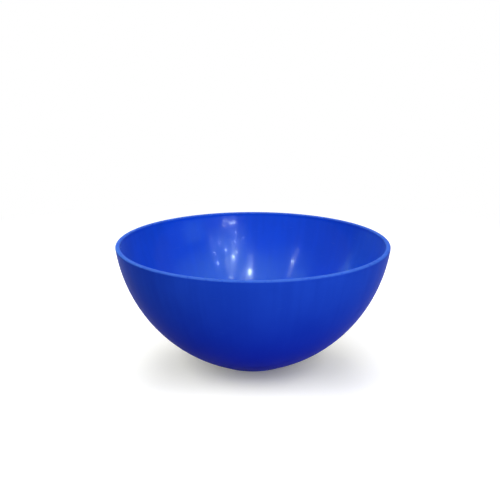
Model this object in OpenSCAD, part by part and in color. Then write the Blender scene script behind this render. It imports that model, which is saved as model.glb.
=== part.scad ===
// Hair colour bowl: a round mixing bowl for tint, moulded in one piece with an even wall.
// The origin lies on the table under the middle of the foot, and +Z points up.

/* [Bowl] */
// Outside diameter across the rim
rim_d = 140; // [115:1:175]
// Height from the table to the top of the rim
height = 63; // [48:1:80]
// Lean of the outer wall from upright where it leaves the rim, in degrees
rim_lean = 7.3; // [4:0.1:14]
// Thickness of the side wall
wall = 2.1; // [1.5:0.1:3.5]

/* [Rim] */
// Height of the upright band inside the rim, which makes the edge thicker than the wall
rim_band = 1.8; // [1.2:0.1:5]
// Radius of the outer edge of the rim
rim_outer_round = 0.8; // [0.3:0.1:1.2]
// Radius of the inner edge of the rim
rim_inner_round = 0.6; // [0.3:0.1:1]

/* [Floor] */
// Thickness of the floor
floor_t = 2.2; // [1.6:0.1:4]
// Radius of the blend between the floor and the side wall, inside
floor_round = 20; // [8:1:36]

/* [Foot] */
// Outside diameter of the foot ring
foot_d = 44; // [30:1:60]
// How far the foot ring stands below the side wall
foot_step = 0.5; // [0.3:0.1:3]
// Width of the foot ring
foot_w = 2.6; // [1.6:0.1:6]
// Radius of the two lower edges of the foot ring
foot_round = 0.3; // [0.1:0.05:0.5]
// Depth of the hollow inside the foot ring
foot_hollow = 1.2; // [0.6:0.1:3]

/* [Gate mark] */
// Diameter of the shallow dish in the middle of the underside
dish_d = 8; // [4:0.5:14]
// Depth of the dish
dish_depth = 0.5; // [0.2:0.1:0.8]
// Diameter of the gate stub left in the dish
gate_d = 1.6; // [1:0.1:3]
// Height of the gate stub
gate_h = 0.35; // [0.1:0.05:0.5]

/* [Hidden] */
$fn = 200;

rim_r = rim_d / 2;
foot_r = foot_d / 2;
hollow_r = foot_r - foot_w;
floor_z = foot_hollow + floor_t;

// Half-planes are cut with polygons that reach past everything.
far = 2 * (rim_d + height);

// The two edge rounds leave at least this much flat on top of the rim.
least_land = 0.1;
edge_limit = (wall - least_land) / 2;
outer_round = min(rim_outer_round, edge_limit);
inner_round = min(rim_inner_round, edge_limit);

function unit(v) = v / norm(v);
function thousandths(x) = round(1000 * x) / 1000;

// The point at height z on the right half of a circle.
function on_circle(centre, radius, z) =
    [centre.x + sqrt(radius * radius - (z - centre.y) * (z - centre.y)), z];

// Sections are drawn as [distance from the axis, height].
// The outer edge of the rim is a round, and the wall leaves it at the set lean.
outer_edge = [rim_r - outer_round, height - outer_round];
lean_dir = [cos(rim_lean), -sin(rim_lean)];
wall_top = outer_edge + outer_round * lean_dir;

// One arc makes the outer wall: it starts square to lean_dir and ends on the foot.
wall_chord = [foot_r, foot_step] - wall_top;
wall_r = thousandths(-(wall_chord * wall_chord) / (2 * wall_chord * lean_dir));
wall_centre = wall_top - wall_r * lean_dir;

// The inner wall shares that centre, one wall thickness nearer to it.
cavity_r = wall_r - wall;

// The upright band rises from the inner wall and ends in the inner edge of the rim.
band_r = thousandths(on_circle(wall_centre, cavity_r, height - rim_band).x);
inner_edge = [band_r + inner_round, height - inner_round];

// The floor blend touches the inner wall from inside.
floor_blend = on_circle(wall_centre, cavity_r - floor_round, floor_z + floor_round);
blend_dir = unit(floor_blend - wall_centre);

// The dish is a shallow cap of a sphere, sunk into the underside of the floor.
dish_r = (dish_d * dish_d / 4 + dish_depth * dish_depth) / (2 * dish_depth);
dish_top = foot_hollow + dish_depth;

// A disc whose centre is set in two moves, whole hundredths and then the rest,
// so that arcs which run into each other meet without a step.
module disc(centre, radius) {
    near = [for (c = centre) round(100 * c) / 100];
    translate(near)
        translate(centre - near)
            circle(radius);
}

// The part of a disc between two directions from its centre.
module sector(centre, radius, dir_a, dir_b) {
    intersection() {
        disc(centre, radius);
        polygon([centre, centre + far * dir_a, centre + far * dir_b]);
    }
}

// Half section of the bowl as if it were filled to the brim: wall arc, rim edge and flat top.
// The arc runs on into the foot, above the foot's rounded edge.
module outside_half() {
    intersection() {
        disc(wall_centre, wall_r);
        polygon([
            [0, foot_round],
            [far, foot_round],
            outer_edge + far * lean_dir,
            outer_edge,
            [0, outer_edge.y]
        ]);
    }
    sector(outer_edge, outer_round, lean_dir, [0, 1]);
    translate([0, outer_edge.y])
        square([outer_edge.x, outer_round]);
}

// Half section of the foot as a solid pad, with its lower edge rounded.
module foot_half() {
    pad_h = foot_step + floor_t / 2;
    square([foot_r - foot_round, pad_h]);
    translate([0, foot_round])
        square([foot_r, pad_h - foot_round]);
    sector([foot_r - foot_round, foot_round], foot_round, [1, 0], [0, -1]);
}

// Half section of the space inside: rim edge, upright band, inner wall, floor blend and flat floor.
module cavity_half() {
    difference() {
        translate([0, inner_edge.y])
            square([inner_edge.x, 2 * inner_round]);
        disc(inner_edge, inner_round);
    }
    intersection() {
        disc(wall_centre, cavity_r);
        square([band_r, far]);
        polygon([
            [0, wall_centre.y],
            [far, wall_centre.y],
            floor_blend + far * blend_dir,
            floor_blend,
            [0, floor_blend.y]
        ]);
    }
    sector(floor_blend, floor_round, blend_dir, [0, -1]);
    translate([0, floor_z])
        square([floor_blend.x, floor_round]);
}

// Half section of the hollow that turns the pad into a ring, flared round the ring's inner edge.
module hollow_half() {
    translate([0, foot_round])
        square([hollow_r, foot_hollow - foot_round]);
    difference() {
        translate([0, -foot_round])
            square([hollow_r + foot_round, 2 * foot_round]);
        disc([hollow_r + foot_round, foot_round], foot_round);
    }
}

// Half section of the gate stub, rooted in the floor above the dish.
module gate_half() {
    root = (floor_t - dish_depth) / 2;
    translate([0, dish_top - gate_h])
        square([gate_d / 2, gate_h + root]);
}

module bowl() {
    color([0.10, 0.27, 0.80])
        rotate_extrude() {
            difference() {
                union() {
                    outside_half();
                    foot_half();
                }
                cavity_half();
                hollow_half();
                disc([0, dish_top - dish_r], dish_r);
            }
            gate_half();
        }
}

bowl();
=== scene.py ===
import math

import bmesh
import bpy
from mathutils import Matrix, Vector


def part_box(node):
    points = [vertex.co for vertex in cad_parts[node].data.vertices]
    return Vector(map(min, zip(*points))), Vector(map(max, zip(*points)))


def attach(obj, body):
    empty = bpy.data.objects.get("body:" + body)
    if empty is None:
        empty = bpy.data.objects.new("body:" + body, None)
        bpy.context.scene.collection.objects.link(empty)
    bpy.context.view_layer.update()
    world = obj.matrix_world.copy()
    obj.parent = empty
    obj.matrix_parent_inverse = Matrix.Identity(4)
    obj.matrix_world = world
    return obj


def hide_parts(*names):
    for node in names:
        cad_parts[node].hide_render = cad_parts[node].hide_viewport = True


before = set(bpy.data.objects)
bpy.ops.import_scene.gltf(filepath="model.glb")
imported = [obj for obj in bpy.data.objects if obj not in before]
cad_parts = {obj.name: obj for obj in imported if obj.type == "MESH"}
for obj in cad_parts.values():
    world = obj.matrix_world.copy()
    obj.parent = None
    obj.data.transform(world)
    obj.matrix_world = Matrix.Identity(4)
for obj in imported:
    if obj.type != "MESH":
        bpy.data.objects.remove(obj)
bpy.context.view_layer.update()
mm = 0.001  # lengths are in metres
print("frame loaded with", ", ".join(sorted(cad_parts)))


# Shader sockets as plain expressions.
class Field:
    def __init__(self, tree, socket=None):
        self.tree = tree
        self.socket = socket

    # Any node: settings are set first, then the values or links of its sockets.
    def node(self, kind, settings=None, sockets=None, out=0):
        made = self.tree.nodes.new(kind)
        for name, value in (settings or {}).items():
            setattr(made, name, value)
        for name, value in (sockets or {}).items():
            if isinstance(value, Field):
                self.tree.links.new(value.socket, made.inputs[name])
            else:
                made.inputs[name].default_value = value
        return Field(self.tree, made.outputs[out] if made.outputs else None)

    def maths(self, operation, first, second=0.0):
        return self.node("ShaderNodeMath", {"operation": operation}, {0: first, 1: second})

    def __add__(self, other):
        return self.maths("ADD", self, other)

    def __radd__(self, other):
        return self.maths("ADD", other, self)

    def __sub__(self, other):
        return self.maths("SUBTRACT", self, other)

    def __rsub__(self, other):
        return self.maths("SUBTRACT", other, self)

    def __mul__(self, other):
        return self.maths("MULTIPLY", self, other)

    def __rmul__(self, other):
        return self.maths("MULTIPLY", other, self)

    def __truediv__(self, other):
        return self.maths("DIVIDE", self, other)

    def __rtruediv__(self, other):
        return self.maths("DIVIDE", other, self)

    # 0 below low, 1 above high, and smooth between them.
    def step(self, low, high):
        return self.node("ShaderNodeMapRange", {"interpolation_type": "SMOOTHSTEP"}, {
            "Value": self, "From Min": low, "From Max": high})

    # From the first colour at 0 to the second at 1.
    def blend(self, first, second):
        return self.node("ShaderNodeMix", {"data_type": "RGBA"}, {0: self, 6: first, 7: second}, out=2)


# A material or a room with no nodes yet.
def emptyTree(owner):
    owner.use_nodes = True
    owner.node_tree.nodes.clear()
    return Field(owner.node_tree)


def finishedPiece(bm, name, materials):
    mesh = bpy.data.meshes.new(name)
    bm.to_mesh(mesh)
    bm.free()
    for material in materials:
        mesh.materials.append(material)
    piece = bpy.data.objects.new(name, mesh)
    bpy.context.scene.collection.objects.link(piece)
    return piece


# The bowl's own sizes; the rim and the height come from the frame.
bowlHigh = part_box("bowl")[1]
bowlShape = {
    "rimRadius": bowlHigh.x,
    "height": bowlHigh.z,
    "rimLean": math.radians(7.3),  # outer wall from upright, where it leaves the rim
    "wall": 2.1 * mm,
    "outerRound": 0.8 * mm,  # the two edges of the rim
    "innerRound": 0.6 * mm,
    "rimBand": 1.8 * mm,  # upright inside, so the edge is thicker than the wall
    "creaseTurn": math.radians(0.2),  # short last step of the wall, for a crisp crease under the band
    "floorTop": 3.4 * mm,
    "floorRound": 20 * mm,  # inside, between floor and wall
    "footRadius": 22 * mm,
    "footStep": 0.5 * mm,
    "footWidth": 2.6 * mm,
    "footRound": 0.3 * mm,
    "footHollow": 1.2 * mm,
    "dishRadius": 4 * mm,  # shallow dish round the gate
    "dishDepth": 0.5 * mm,
    "gateRadius": 0.8 * mm,
    "gateHeight": 0.35 * mm,
    "sharpAngle": math.radians(35),
    "mergeReach": 0.001 * mm,
}
# Faces round the bowl, and along each stretch of its section.
bowlSteps = {
    "turn": 256,
    "floor": 20,
    "floorRound": 12,
    "innerWall": 64,
    "crease": 1,
    "band": 6,
    "innerRound": 8,
    "outerRound": 10,
    "outerWall": 72,
    "footRound": 5,
    "footFlat": 2,
    "hollow": 14,
    "dish": 8,
    "gate": 2,
}


def lastVert(made):
    return next(item for item in made["geom_last"] if isinstance(item, bmesh.types.BMVert))


def sectionLine(bm, vert, radius, height, steps=1):
    step = (Vector((radius, 0, height)) - vert.co) / steps
    return lastVert(bmesh.ops.spin(bm, geom=[vert], axis=(0, -1, 0), angle=0, dvec=step, steps=steps))


# Angles are counted from +X towards +Z.
def sectionArc(bm, vert, centre, endAngle, steps):
    startAngle = math.atan2(vert.co.z - centre.y, vert.co.x - centre.x)
    turn = math.remainder(endAngle - startAngle, math.tau)  # the short way round
    return lastVert(bmesh.ops.spin(
        bm, geom=[vert], cent=(centre.x, 0, centre.y), axis=(0, -1, 0), angle=turn, steps=steps))


def directionAngle(vector):
    return math.atan2(vector.y, vector.x)


def onCircle(centre, radius, height):
    return Vector((centre.x + math.sqrt(radius ** 2 - (height - centre.y) ** 2), height))


# One arc makes the wall: it leaves the rim at its lean and ends on the foot.
def wallArc(shape):
    rimEdge = Vector((shape["rimRadius"] - shape["outerRound"], shape["height"] - shape["outerRound"]))
    lean = Vector((math.cos(shape["rimLean"]), -math.sin(shape["rimLean"])))
    wallTop = rimEdge + shape["outerRound"] * lean
    chord = Vector((shape["footRadius"], shape["footStep"])) - wallTop
    radius = -chord.dot(chord) / (2 * chord.dot(lean))
    return rimEdge, wallTop - radius * lean, radius


# Half section from the middle of the floor, over the rim, to the middle of the underside.
def bowlSection(bm, shape, steps):
    height = shape["height"]
    floorTop = shape["floorTop"]
    rimEdge, wallCentre, wallRadius = wallArc(shape)
    cavityRadius = wallRadius - shape["wall"]
    blend = onCircle(wallCentre, cavityRadius - shape["floorRound"], floorTop + shape["floorRound"])
    bandFoot = onCircle(wallCentre, cavityRadius, height - shape["rimBand"])
    bandAngle = directionAngle(bandFoot - wallCentre)
    innerEdge = Vector((bandFoot.x + shape["innerRound"], height - shape["innerRound"]))

    vert = bm.verts.new((0, 0, floorTop))
    vert = sectionLine(bm, vert, blend.x, floorTop, steps["floor"])
    vert = sectionArc(bm, vert, blend, directionAngle(blend - wallCentre), steps["floorRound"])
    vert = sectionArc(bm, vert, wallCentre, bandAngle - shape["creaseTurn"], steps["innerWall"])
    vert = sectionArc(bm, vert, wallCentre, bandAngle, steps["crease"])
    vert = sectionLine(bm, vert, bandFoot.x, innerEdge.y, steps["band"])
    vert = sectionArc(bm, vert, innerEdge, math.pi / 2, steps["innerRound"])
    vert = sectionLine(bm, vert, rimEdge.x, height)
    vert = sectionArc(bm, vert, rimEdge, -shape["rimLean"], steps["outerRound"])
    footTop = Vector((shape["footRadius"], shape["footStep"]))
    vert = sectionArc(bm, vert, wallCentre, directionAngle(footTop - wallCentre), steps["outerWall"])

    footRound = shape["footRound"]
    footOuter = Vector((shape["footRadius"] - footRound, footRound))
    footInner = Vector((shape["footRadius"] - shape["footWidth"] + footRound, footRound))
    hollow = shape["footHollow"]
    vert = sectionLine(bm, vert, shape["footRadius"], footRound)
    vert = sectionArc(bm, vert, footOuter, -math.pi / 2, steps["footRound"])
    vert = sectionLine(bm, vert, footInner.x, 0, steps["footFlat"])
    vert = sectionArc(bm, vert, footInner, -math.pi, steps["footRound"])
    vert = sectionLine(bm, vert, footInner.x - footRound, hollow)
    vert = sectionLine(bm, vert, shape["dishRadius"], hollow, steps["hollow"])

    dishBall = (shape["dishRadius"] ** 2 + shape["dishDepth"] ** 2) / (2 * shape["dishDepth"])
    dishTop = hollow + shape["dishDepth"]
    dishCentre = Vector((0, dishTop - dishBall))
    gateEnd = dishTop - shape["gateHeight"]
    vert = sectionArc(bm, vert, dishCentre, math.acos(shape["gateRadius"] / dishBall), steps["dish"])
    vert = sectionLine(bm, vert, shape["gateRadius"], gateEnd)
    sectionLine(bm, vert, 0, gateEnd, steps["gate"])


# The inside is polished up to the rounded edge of the rim.
def faceIsPolished(face, shape, wallCentre, wallRadius):
    middle = face.calc_center_median()
    reach = math.hypot(math.hypot(middle.x, middle.y) - wallCentre.x, middle.z - wallCentre.y)
    above = middle.z > shape["floorTop"] - shape["wall"] / 2
    below = middle.z < shape["height"] - shape["innerRound"]
    return above and below and reach < wallRadius - shape["wall"] / 2


def bowlShell(shape, steps, materials):
    bm = bmesh.new()
    bowlSection(bm, shape, steps)
    bmesh.ops.spin(
        bm, geom=bm.verts[:] + bm.edges[:], cent=(0, 0, 0), axis=(0, 0, 1),
        angle=math.tau, steps=steps["turn"], use_merge=True)
    bmesh.ops.remove_doubles(bm, verts=bm.verts, dist=shape["mergeReach"])
    bmesh.ops.recalc_face_normals(bm, faces=bm.faces)
    wallCentre, wallRadius = wallArc(shape)[1:]
    for face in bm.faces:
        face.smooth = True
        face.material_index = 0 if faceIsPolished(face, shape, wallCentre, wallRadius) else 1
    shell = finishedPiece(bm, "bowl_shell", materials)
    shell.data.set_sharp_from_angle(angle=shape["sharpAngle"])
    return shell


# Moulded blue plastic: the inside takes the polish of the core, the outside the satin of the cavity.
insideFinish = {
    "blue": (0.0035, 0.060, 0.59, 1),
    "deepBlue": (0.0025, 0.053, 0.525, 1),
    # painted shade: the blue at the bottom, darker than the blue above
    "shadedLowBlue": (0.0030, 0.057, 0.56, 1),
    "roughness": 0.21,
    "specular": 0.05,
    "streak": 0.75,  # polishing runs round the core, so a highlight smears up and down the wall
    "coat": 0.125,
    "coatRoughness": 0.09,
    "sheen": 0.07,
    "sheenRoughness": 0.5,
    "sheenTint": (0.6, 0.9, 1, 1),
    "ringDepth": 0.035,
    "peelDepth": 0.03,
}
outsideFinishAndPaintedLight = {
    # The same plastic as the inside, but its blues are set darker and a little redder: painted shade, and a
    # painted reflection standing in for the low gloss set on this side.
    "blue": (0.0102, 0.054, 0.52, 1),
    "deepBlue": (0.0076, 0.045, 0.47, 1),
    # painted shade: the blue at the bottom, darker than the blue above
    "shadedLowBlue": (0.0020, 0.012, 0.470, 1),
    "roughness": 0.46,
    "specular": 0.0085,
    "streak": 0.0,
    "coat": 0.0,
    "coatRoughness": 0.25,
    "sheen": 0.03,
    "sheenRoughness": 0.25,
    "sheenTint": (1, 0.75, 0.85, 1),
    "ringDepth": 0.03,
    "peelDepth": 0.05,
}
edgeWearAndHighlight = {
    "paleBlue": (0.045, 0.130, 0.55, 1),  # handling has dulled and paled the rim, and its paleness is also a painted highlight along the lit edge
    "rimDepth": 1.0 * mm,  # starts here below the top
    "rimFull": 0.25 * mm,  # and is full from here up
    "rimAmount": 0.8,
    "footHeight": 0.5 * mm,
    "footAmount": 0.45,
    "gritRange": (0.15, 0.50),
    "hairlinePale": 0.10,
    "roughened": 0.12,
}
# Patterns of the moulding. Turned ones have a scale round the bowl, one along the section, and their detail.
mouldGrain = {
    "flow": (18, 14, 2.0),  # pigment streaks that run up from the gate
    "rings": (3, 2600, 1.0),  # polishing marks of the mould
    "hairlines": (9, 1500, 3.0),  # fine scratches from brush and spatula
    "hairlineRange": (0.66, 0.74),
    "mottle": (38, 3.0),  # scale and detail
    "peel": (700, 1.0),
    "grit": (420, 3.0),
    "mottleShare": 0.6,  # of the pigment's pattern; the flow has the rest
    "pigmentRange": (0.35, 0.65),
    "middle": 0.5,  # a pattern's mean, where the roughness stays as it is
    "mottleRough": 0.10,
    "ringRough": 0.06,
    "hairlineRough": 0.08,
    "hairlineDepth": 0.04,
    "reliefStrength": 0.35,
    "reliefDepth": 0.2 * mm,
}
# What both sides share: refraction, and the turn of the streak to run up the wall.
plasticBody = {"refraction": 1.49, "polishRefraction": 1.4, "streakTurn": 0.25}


def mouldedBlue(name, finish, wearAndHighlight, grain, body, shape):
    material = bpy.data.materials.new(name)
    start = emptyTree(material)
    place = start.node("ShaderNodeTexCoord", out="Object")
    apart = {"Vector": place}
    x = start.node("ShaderNodeSeparateXYZ", sockets=apart, out="X")
    y = start.node("ShaderNodeSeparateXYZ", sockets=apart, out="Y")
    z = start.node("ShaderNodeSeparateXYZ", sockets=apart, out="Z")
    radius = start.maths("SQRT", x * x + y * y)
    around = start.node("ShaderNodeCombineXYZ", sockets={"X": x / radius, "Y": y / radius})
    along = radius + z  # grows along the section from the middle to the rim

    # Noise that is long round the bowl and fine along the section, or the other way about.
    def turned(aroundScale, alongScale, detail):
        wide = start.node("ShaderNodeVectorMath", {"operation": "SCALE"}, {0: around, "Scale": aroundScale})
        tall = start.node("ShaderNodeCombineXYZ", sockets={"Z": along * alongScale})
        spot = start.node("ShaderNodeVectorMath", {"operation": "ADD"}, {0: wide, 1: tall})
        return start.node("ShaderNodeTexNoise", sockets={"Vector": spot, "Scale": 1.0, "Detail": detail})

    def cloud(scale, detail):
        return start.node("ShaderNodeTexNoise", sockets={"Vector": place, "Scale": scale, "Detail": detail})

    flow = turned(*grain["flow"])
    rings = turned(*grain["rings"])
    hairlines = turned(*grain["hairlines"]).step(*grain["hairlineRange"])
    mottle = cloud(*grain["mottle"])
    peel = cloud(*grain["peel"])
    grit = cloud(*grain["grit"])

    rimTop = shape["height"]
    # The rim's paling is partly handling wear and partly a painted highlight along its lit edge; at the foot
    # it is scuffing.
    rimWearAndHighlight = z.step(rimTop - wearAndHighlight["rimDepth"], rimTop - wearAndHighlight["rimFull"]) * wearAndHighlight["rimAmount"]
    scuffed = (0 - z).step(-wearAndHighlight["footHeight"], 0.0) * wearAndHighlight["footAmount"]
    paled = (rimWearAndHighlight + scuffed) * grit.step(*wearAndHighlight["gritRange"])

    share = grain["mottleShare"]
    pigment = (share * mottle + (1 - share) * flow).step(*grain["pigmentRange"])
    blue = pigment.blend(finish["deepBlue"], finish["blue"])
    blue = z.step(0.0, rimTop).blend(finish["shadedLowBlue"], blue)  # painted shade: darker towards the bottom
    # Pale marks: the rim's wear with its painted highlight, scuffs on the foot, and hairlines.
    marks = start.maths("MAXIMUM", paled, wearAndHighlight["hairlinePale"] * hairlines)
    colour = marks.blend(blue, wearAndHighlight["paleBlue"])
    roughness = (
        finish["roughness"]
        + grain["mottleRough"] * (mottle - grain["middle"])
        + grain["ringRough"] * (rings - grain["middle"])
        + grain["hairlineRough"] * hairlines
        + wearAndHighlight["roughened"] * paled)
    relief = (
        finish["ringDepth"] * rings
        + finish["peelDepth"] * peel
        - grain["hairlineDepth"] * hairlines)
    normal = start.node("ShaderNodeBump", sockets={
        "Height": relief, "Strength": grain["reliefStrength"], "Distance": grain["reliefDepth"]})
    plastic = start.node("ShaderNodeBsdfPrincipled", sockets={
        "Base Color": colour, "Roughness": roughness, "Normal": normal,
        "IOR": body["refraction"], "Specular IOR Level": finish["specular"],
        "Anisotropic": finish["streak"], "Anisotropic Rotation": body["streakTurn"],
        "Sheen Weight": finish["sheen"], "Sheen Roughness": finish["sheenRoughness"],
        "Sheen Tint": finish["sheenTint"],
        "Coat Weight": finish["coat"], "Coat Roughness": finish["coatRoughness"],
        "Coat IOR": body["polishRefraction"]})
    start.node("ShaderNodeOutputMaterial", sockets={"Surface": plastic})
    return material


shell = bowlShell(bowlShape, bowlSteps, [
    mouldedBlue("polished_inside", insideFinish, edgeWearAndHighlight, mouldGrain, plasticBody, bowlShape),
    mouldedBlue("satin_outside", outsideFinishAndPaintedLight, edgeWearAndHighlight, mouldGrain, plasticBody, bowlShape)])
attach(shell, "root")
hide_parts("bowl")
print("bowl shell with", len(shell.data.polygons), "faces")


# Pale studio floor, white to the camera, which keeps the bowl's shadow.
floorLook = {
    "size": 12.0,
    "drop": 0.05 * mm,
    "paint": (1.0, 1.0, 1.0, 1),
    "nearPaint": (1.0, 0.985, 0.755, 1),  # warm, against the blue that the bowl throws on it
    "nearReach": 0.10,
    "bounce": (0.32, 0.32, 0.32, 1),  # what the paint throws back on the bowl
    "lift": 0.18,  # keeps the darkest of the shadow grey
    "shadowReach": (0.14, 0.40),  # from here outwards the floor fades to plain white
}


def seenDirectly(start):
    camera = start.node("ShaderNodeLightPath", out="Is Camera Ray")
    glossy = start.node("ShaderNodeLightPath", out="Is Glossy Ray")
    through = start.node("ShaderNodeLightPath", out="Is Transmission Ray")
    return start.maths("MINIMUM", camera + glossy + through, 1.0)


def studioFloor(look):
    material = bpy.data.materials.new("studio_floor")
    start = emptyTree(material)
    place = start.node("ShaderNodeTexCoord", out="Object")
    reach = start.node("ShaderNodeVectorMath", {"operation": "LENGTH"}, {0: place}, out="Value")
    paint = reach.step(0, look["nearReach"]).blend(look["nearPaint"], look["paint"])
    matt = start.node("ShaderNodeBsdfDiffuse", sockets={"Color": paint})
    lift = start.node("ShaderNodeEmission", sockets={"Strength": look["lift"]})
    near = start.node("ShaderNodeAddShader", sockets={0: matt, 1: lift})
    white = start.node("ShaderNodeEmission", sockets={"Strength": 1.0})
    faded = reach.step(*look["shadowReach"])
    shown = start.node("ShaderNodeMixShader", sockets={0: faded, 1: near, 2: white})
    plain = start.node("ShaderNodeBsdfDiffuse", sockets={"Color": look["bounce"]})
    both = start.node("ShaderNodeMixShader", sockets={0: seenDirectly(start), 1: plain, 2: shown})
    start.node("ShaderNodeOutputMaterial", sockets={"Surface": both})

    bm = bmesh.new()
    bmesh.ops.create_grid(bm, x_segments=1, y_segments=1, size=look["size"] / 2)
    bmesh.ops.translate(bm, verts=bm.verts, vec=(0, 0, -look["drop"]))
    return finishedPiece(bm, "studio_floor", [material])


floor = studioFloor(floorLook)
print("floor laid")


# The room adds a little light from all round, and the camera sees it white.
roomLight = {"colour": (1.0, 1.0, 1.0, 1), "level": 0.02}


def studioRoom(look):
    world = bpy.data.worlds.new("studio_room")
    bpy.context.scene.world = world
    start = emptyTree(world)
    level = look["level"] + (1 - look["level"]) * seenDirectly(start)
    sky = start.node("ShaderNodeBackground", sockets={"Color": look["colour"], "Strength": level})
    start.node("ShaderNodeOutputWorld", sockets={"Surface": sky})


# Lamps hang round the bowl; azimuth 0 is the camera's side, and it grows to the right.
# Spans are in degrees, as seen from the bowl. A soft one dims from its middle to its edge.
plainWhite = (1.0, 1.0, 1.0)
coolWhite = (0.74, 0.97, 1.0)
softboxes = {
    "key_box": {"azimuth": 26, "elevation": 12, "span": (36, 30), "glow": 4.4},
    "fill_box": {"azimuth": -125, "elevation": 48, "span": (40, 40), "glow": 1.7},
    "back_box": {"azimuth": 180, "elevation": 50, "span": (40, 40), "glow": 2.9},
    "left_box": {"azimuth": -70, "elevation": 50, "span": (40, 40), "glow": 0.7},
    "ceiling_box": {"azimuth": 8, "elevation": 62, "span": (92, 92), "glow": 2.2, "soft": True},
}
# These light the floor alone, and give the bowl its soft shadow.
floorLamps = {
    "left_lamp": {"azimuth": -75, "elevation": 31, "span": (40, 50), "glow": 3.55},
    "right_lamp": {"azimuth": 75, "elevation": 36, "span": (40, 40), "glow": 3.07},
    "back_lamp": {"azimuth": 180, "elevation": 45, "span": (40, 40), "glow": 3.33},
    "front_lamp": {"azimuth": 0, "elevation": 60, "span": (40, 40), "glow": 1.67},
}
# Wide, faint reflections in the polish.
mintWhite = (0.45, 1.0, 0.35)
glows = {
    "left_glow": {"azimuth": -45, "elevation": 50, "span": (60, 45), "glow": 4.6, "soft": True},
    "front_glow": {"azimuth": 5, "elevation": 56, "span": (60, 45), "glow": 8.8, "soft": True},
    "right_glow": {"azimuth": 40, "elevation": 45, "span": (55, 55), "glow": 6.2, "soft": True},
    "side_glow": {"azimuth": 78, "elevation": 48, "span": (60, 45), "glow": 6.4, "soft": True},
    "low_glow": {"azimuth": 25, "elevation": 28, "span": (50, 30), "glow": 6.4, "soft": True},
    "corner_glow": {"azimuth": -66, "elevation": 50, "span": (26, 24), "glow": 6, "soft": True},
    "rim_glow": {"azimuth": 58, "elevation": 12, "span": (32, 16), "glow": 5, "soft": True},
    "window_glow": {"azimuth": -136, "elevation": 20, "span": (62, 36), "glow": 16, "soft": True},
}
# Small lights of the room, which show only as highlights in the polish.
roomLamps = {
    "high": {"azimuth": 4.5, "elevation": 52.4, "span": (3.2, 4.4), "glow": 305},
    "high_tail": {"azimuth": 2, "elevation": 45, "span": (3.0, 16.0), "glow": 15},
    "high_haze": {"azimuth": 9.5, "elevation": 56, "span": (11.0, 14.0), "glow": 10},
    "right": {"azimuth": 22.3, "elevation": 38.6, "span": (1.1, 4.2), "glow": 500},
    "right_above": {"azimuth": 17.8, "elevation": 34.7, "span": (1.4, 1.5), "glow": 330},
    "right_beam": {"azimuth": 21.5, "elevation": 29, "span": (2.0, 12.0), "glow": 7},
    "right_haze": {"azimuth": 16.5, "elevation": 29, "span": (11.0, 13.0), "glow": 4},
    "right_tail": {"azimuth": 28, "elevation": 44.5, "span": (10.0, 15.0), "glow": 11},
    "right_high": {"azimuth": 33, "elevation": 54.5, "span": (2.4, 3.0), "glow": 60},
    "left": {"azimuth": -48, "elevation": 40.5, "span": (0.9, 6.0), "glow": 70},
    "left_core": {"azimuth": -47.1, "elevation": 37.9, "span": (1.0, 2.2), "glow": 330},
    "left_tail": {"azimuth": -50, "elevation": 46, "span": (1.0, 8.0), "glow": 24},
    "left_haze": {"azimuth": -48.3, "elevation": 33.5, "span": (3.6, 15.0), "glow": 10},
    "low": {"azimuth": 17.6, "elevation": 10, "span": (3.2, 1.4), "glow": 205},
    "low_middle": {"azimuth": 21.0, "elevation": 10.6, "span": (3.0, 1.4), "glow": 215},
    "low_upper": {"azimuth": 26.0, "elevation": 8.2, "span": (5.0, 1.0), "glow": 72},
    "low_under": {"azimuth": 26.8, "elevation": 11.8, "span": (3.6, 1.1), "glow": 120},
}
# The smallest of them, which show as dots.
sparkles = {
    "span": (1.5, 1.5),
    "colour": (0.30, 0.47, 1.0),
    "spots": [  # azimuth, elevation, glow
        (42.6, 21.6, 170), (34, 24.8, 490), (29.2, 31.1, 750),
        (42.4, 32.4, 370), (42.9, 40.5, 530), (16.4, 19.3, 290),
        (10, 23.6, 75), (18.2, 26, 180), (41.4, 26.4, 140)],
}
lampDistance = 1.2
lampAim = Vector((0, 0.045, 0.035))


# What a lamp is for: the bowl or the floor.
def lightGroup(name, item):
    group = bpy.data.collections.new(name)
    group.objects.link(item)
    return group


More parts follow.
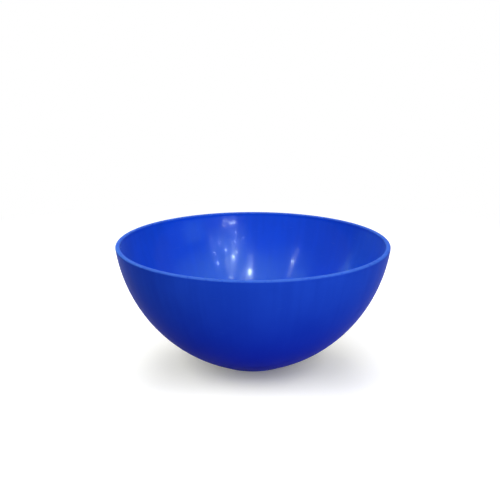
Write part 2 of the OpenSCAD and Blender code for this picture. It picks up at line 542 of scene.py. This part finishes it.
# A lamp either lights its group or shows in the polish.
def hangLamp(name, lamp, shape, colour, group, shines):
    light = bpy.data.lights.new(name, "AREA")
    light.shape = shape
    light.color = colour
    wide, tall = [2 * lampDistance * math.tan(math.radians(span) / 2) for span in lamp["span"]]
    light.size = wide
    light.size_y = tall
    area = wide * tall * (math.pi / 4 if shape == "ELLIPSE" else 1)
    light.energy = 4 * area * lamp["glow"]  # so its face has this glow
    if lamp.get("soft"):
        halfSpread = math.radians(max(lamp["span"])) / 2
        light.spread = 2 * halfSpread
        light.energy *= 1 - halfSpread / math.tan(halfSpread)  # keeps the middle at its glow
    azimuth = math.radians(lamp["azimuth"])
    elevation = math.radians(lamp["elevation"])
    away = Vector((
        math.cos(elevation) * math.sin(azimuth),
        -math.cos(elevation) * math.cos(azimuth),
        math.sin(elevation)))
    hung = bpy.data.objects.new(name, light)
    hung.location = lampAim + lampDistance * away
    hung.rotation_euler = (-away).to_track_quat("-Z", "Y").to_euler()
    hung.visible_diffuse = shines
    hung.visible_glossy = not shines
    hung.visible_camera = False
    hung.light_linking.receiver_collection = group
    bpy.context.scene.collection.objects.link(hung)


studioRoom(roomLight)
bowlGroup = lightGroup("bowl_lit", shell)
floorGroup = lightGroup("floor_lit", floor)
for name, lamp in softboxes.items():
    hangLamp(name, lamp, "RECTANGLE", plainWhite, bowlGroup, shines=True)
for name, lamp in floorLamps.items():
    hangLamp(name, lamp, "RECTANGLE", plainWhite, floorGroup, shines=True)
for name, lamp in glows.items():
    hangLamp(name, lamp, "RECTANGLE", mintWhite, bowlGroup, shines=False)
for name, lamp in roomLamps.items():
    hangLamp(name, lamp, "ELLIPSE", coolWhite, bowlGroup, shines=False)
for number, (azimuth, elevation, glow) in enumerate(sparkles["spots"], 1):
    lamp = {"azimuth": azimuth, "elevation": elevation, "span": sparkles["span"], "glow": glow}
    hangLamp(f"sparkle_{number}", lamp, "ELLIPSE", sparkles["colour"], bowlGroup, shines=False)
print("bowl lit by", len(softboxes), "softboxes and floor by", len(floorLamps), "lamps")
print("polish shows", len(glows) + len(roomLamps) + len(sparkles["spots"]), "lamps")


# The photograph's view, for a square picture.
view = {
    "location": Vector((0, -406.74 * mm, 167.71 * mm)),
    "aim": Vector((-1.48 * mm, 0, 58.16 * mm)),
    "lens": 58.80,
    "sensor": 36.0,
    "nearest": 10 * mm,
}
cameraData = bpy.data.cameras.new("view")
cameraData.lens = view["lens"]
cameraData.sensor_width = view["sensor"]
cameraData.clip_start = view["nearest"]
camera = bpy.data.objects.new("view", cameraData)
camera.location = view["location"]
camera.rotation_euler = (view["aim"] - view["location"]).to_track_quat("-Z", "Y").to_euler()
bpy.context.scene.collection.objects.link(camera)
bpy.context.scene.camera = camera
bpy.context.scene.view_settings.view_transform = "Standard"
print("camera set")
